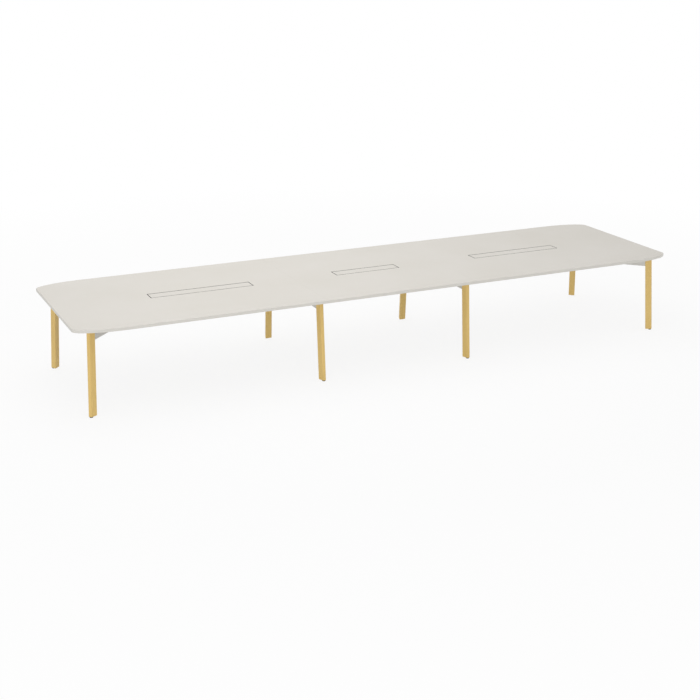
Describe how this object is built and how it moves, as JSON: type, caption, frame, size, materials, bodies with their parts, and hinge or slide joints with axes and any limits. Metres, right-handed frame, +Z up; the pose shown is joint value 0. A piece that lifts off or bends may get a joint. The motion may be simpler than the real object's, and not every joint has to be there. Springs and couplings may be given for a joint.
{
  "type": "conference table",
  "caption": "Long meeting table with a pale soft-cornered top, flush hinged cable hatches, splayed wooden legs, steel underframe and levelling feet.",
  "frame": {"origin": "on the floor under the centre of the table", "axes": "+X along the table to the right end, +Y across it to the far side, +Z up"},
  "size_m": [5.6, 1.5, 0.735],
  "materials": {
    "top_board": "particle board faced in matt warm-grey melamine",
    "edge_band": "2 mm plastic edge band in the colour of the top",
    "leg_wood": "clear matt lacquer on pale solid ash",
    "frame_steel": "light grey fine-texture powder coat on folded sheet steel",
    "glide": "black moulded plastic",
    "bare_steel": "zinc-plated steel"
  },
  "bodies": {
    "table": {"top_panel_left": "top_board", "top_panel_middle": "top_board", "top_panel_right": "top_board", "edge_band_left": "edge_band", "edge_band_right": "edge_band", "edge_band_near": "edge_band", "edge_band_far": "edge_band", "lid_pin_left_first": "bare_steel", "lid_pin_left_second": "bare_steel", "cable_tray_left": "frame_steel", "lid_pin_middle_first": "bare_steel", "lid_pin_middle_second": "bare_steel", "cable_tray_middle": "frame_steel", "lid_pin_right_first": "bare_steel", "lid_pin_right_second": "bare_steel", "cable_tray_right": "frame_steel", "leg_near_left": "leg_wood", "foot_insert_near_left": "bare_steel", "leg_far_left": "leg_wood", "foot_insert_far_left": "bare_steel", "leg_near_midleft": "leg_wood", "foot_insert_near_midleft": "bare_steel", "leg_far_midleft": "leg_wood", "foot_insert_far_midleft": "bare_steel", "leg_near_midright": "leg_wood", "foot_insert_near_midright": "bare_steel", "leg_far_midright": "leg_wood", "foot_insert_far_midright": "bare_steel", "leg_near_right": "leg_wood", "foot_insert_near_right": "bare_steel", "leg_far_right": "leg_wood", "foot_insert_far_right": "bare_steel", "cross_beam_left": "frame_steel", "end_tie_left": "frame_steel", "arm_near_left": "frame_steel", "arm_far_left": "frame_steel", "cross_beam_right": "frame_steel", "end_tie_right": "frame_steel", "arm_near_right": "frame_steel", "arm_far_right": "frame_steel", "rail_near_left": "frame_steel", "rail_far_left": "frame_steel", "rail_near_middle": "frame_steel", "rail_far_middle": "frame_steel", "rail_near_right": "frame_steel", "rail_far_right": "frame_steel"},
    "lid_left": {"lid_left": "top_board"},
    "lid_middle": {"lid_middle": "top_board"},
    "lid_right": {"lid_right": "top_board"},
    "foot_near_left": {"foot_near_left": "glide"},
    "foot_far_left": {"foot_far_left": "glide"},
    "foot_near_midleft": {"foot_near_midleft": "glide"},
    "foot_far_midleft": {"foot_far_midleft": "glide"},
    "foot_near_midright": {"foot_near_midright": "glide"},
    "foot_far_midright": {"foot_far_midright": "glide"},
    "foot_near_right": {"foot_near_right": "glide"},
    "foot_far_right": {"foot_far_right": "glide"}
  },
  "joints": [
    {"name": "lid_left_hinge", "type": "hinge", "parent": "table", "child": "lid_left", "pos_m": [-1.545, -0.05, 0.727], "axis": [1, 0, 0], "range_deg": [0, 110]},
    {"name": "lid_middle_hinge", "type": "hinge", "parent": "table", "child": "lid_middle", "pos_m": [0, -0.05, 0.727], "axis": [1, 0, 0], "range_deg": [0, 110]},
    {"name": "lid_right_hinge", "type": "hinge", "parent": "table", "child": "lid_right", "pos_m": [1.545, -0.05, 0.727], "axis": [1, 0, 0], "range_deg": [0, 110]},
    {"name": "foot_near_left_level", "type": "slide", "parent": "table", "child": "foot_near_left", "axis": [0, 0, -1], "range_m": [0, 0.01]},
    {"name": "foot_far_left_level", "type": "slide", "parent": "table", "child": "foot_far_left", "axis": [0, 0, -1], "range_m": [0, 0.01]},
    {"name": "foot_near_midleft_level", "type": "slide", "parent": "table", "child": "foot_near_midleft", "axis": [0, 0, -1], "range_m": [0, 0.01]},
    {"name": "foot_far_midleft_level", "type": "slide", "parent": "table", "child": "foot_far_midleft", "axis": [0, 0, -1], "range_m": [0, 0.01]},
    {"name": "foot_near_midright_level", "type": "slide", "parent": "table", "child": "foot_near_midright", "axis": [0, 0, -1], "range_m": [0, 0.01]},
    {"name": "foot_far_midright_level", "type": "slide", "parent": "table", "child": "foot_far_midright", "axis": [0, 0, -1], "range_m": [0, 0.01]},
    {"name": "foot_near_right_level", "type": "slide", "parent": "table", "child": "foot_near_right", "axis": [0, 0, -1], "range_m": [0, 0.01]},
    {"name": "foot_far_right_level", "type": "slide", "parent": "table", "child": "foot_far_right", "axis": [0, 0, -1], "range_m": [0, 0.01]}
  ]
}
